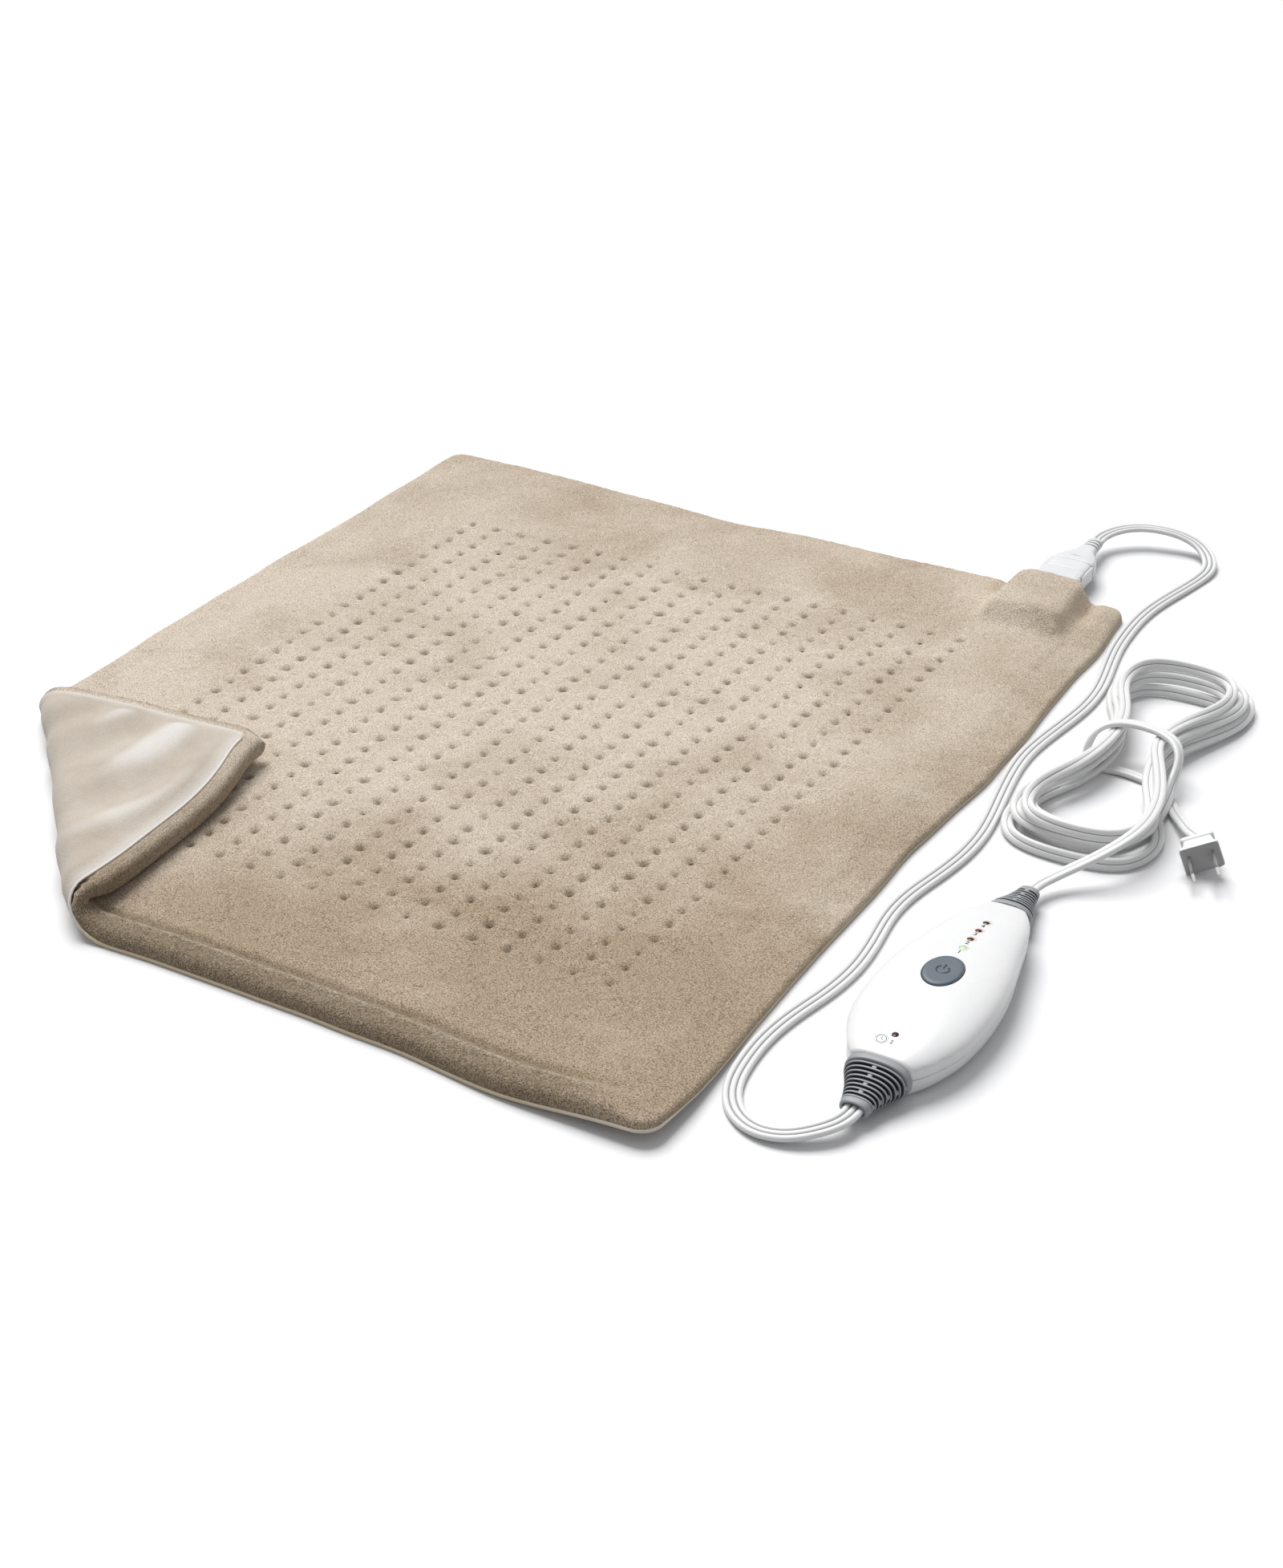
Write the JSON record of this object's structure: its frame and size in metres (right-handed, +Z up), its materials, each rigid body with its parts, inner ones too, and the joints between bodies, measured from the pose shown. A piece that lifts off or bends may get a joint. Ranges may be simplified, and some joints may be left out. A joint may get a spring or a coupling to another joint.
{
  "type": "heating pad with controller",
  "caption": "Quilted plush heating pad with one corner folded over, a plug-in flat lead, a hand controller with slotted strain reliefs, a coiled mains cord and a two-blade plug.",
  "frame": {"origin": "centre of the pad's underside, on the surface that it lies on", "axes": "+Z up out of the plush face, +Y along the long side of the pad towards its connector, +X along the short side towards the cords and the controller"},
  "size_m": [0.6638, 0.7318, 0.0269],
  "materials": {
    "plush": "deep soft plush pile, sand beige",
    "brushed_cloth": "smooth brushed knit, warm cream grey",
    "felt": "flat felt",
    "wire_rubber": "matte insulation",
    "clear_white_plastic": "slightly translucent white",
    "white_plastic": "high gloss white",
    "white_cord": "smooth white vinyl",
    "grey_rubber": "satin grey",
    "slate_plastic": "satin slate",
    "board": "satin solder mask",
    "black_plastic": "moulded epoxy",
    "ceramic": "unglazed ceramic",
    "steel": "zinc plated",
    "nickel": "nickel plated",
    "brass": "bright",
    "dark_lens": "dark red tinted lens, unlit",
    "green_lens": "green lens, lit"
  },
  "bodies": {
    "pad": {"top_cover": "plush", "edge_hem": "plush", "socket_cuff": "plush", "underside_cover": "brushed_cloth", "heating_felt": "felt", "heating_wire": "wire_rubber", "pad_socket": "clear_white_plastic", "socket_pin_1": "brass", "socket_pin_2": "brass", "socket_pin_3": "brass"},
    "lead": {"connector_hood": "clear_white_plastic", "connector_contact_1": "brass", "connector_contact_2": "brass", "connector_contact_3": "brass", "connector_relief": "clear_white_plastic", "pad_lead": "white_cord", "top_shell": "white_plastic", "bottom_shell": "white_plastic", "tact_switch": "black_plastic", "circuit_board": "board", "triac": "black_plastic", "fuse": "ceramic", "capacitor": "slate_plastic", "microcontroller": "black_plastic", "lower_strain_relief": "grey_rubber", "upper_strain_relief": "grey_rubber", "high_indicator": "dark_lens", "medium_indicator": "dark_lens", "low_indicator": "dark_lens", "warm_indicator": "green_lens", "timer_indicator": "dark_lens", "housing_screw_1": "steel", "housing_screw_2": "steel", "housing_screw_3": "steel", "housing_screw_4": "steel", "plug_body": "white_plastic", "plug_blade_left": "nickel", "plug_blade_right": "nickel", "mains_stretch": "white_cord", "mains_hank": "white_cord", "mains_tail": "white_cord"},
    "button": {"power_button": "slate_plastic"},
    "left_tab": {"release_tab_left": "clear_white_plastic"},
    "right_tab": {"release_tab_right": "clear_white_plastic"}
  },
  "joints": [
    {"name": "connector_pull", "type": "slide", "parent": "pad", "child": "lead", "axis": [0, 1, 0], "range_m": [0, 0.02]},
    {"name": "power_press", "type": "slide", "parent": "lead", "child": "button", "axis": [0, 0, -1], "range_m": [0, 0.0008], "stiffness_N_per_m": 2500, "springref_m": -0.0006},
    {"name": "left_tab_squeeze", "type": "slide", "parent": "lead", "child": "left_tab", "axis": [1, 0, 0], "range_m": [0, 0.001], "stiffness_N_per_m": 4000, "springref_m": -0.0005},
    {"name": "right_tab_squeeze", "type": "slide", "parent": "lead", "child": "right_tab", "axis": [-1, 0, 0], "range_m": [0, 0.001], "stiffness_N_per_m": 4000, "springref_m": -0.0005}
  ]
}
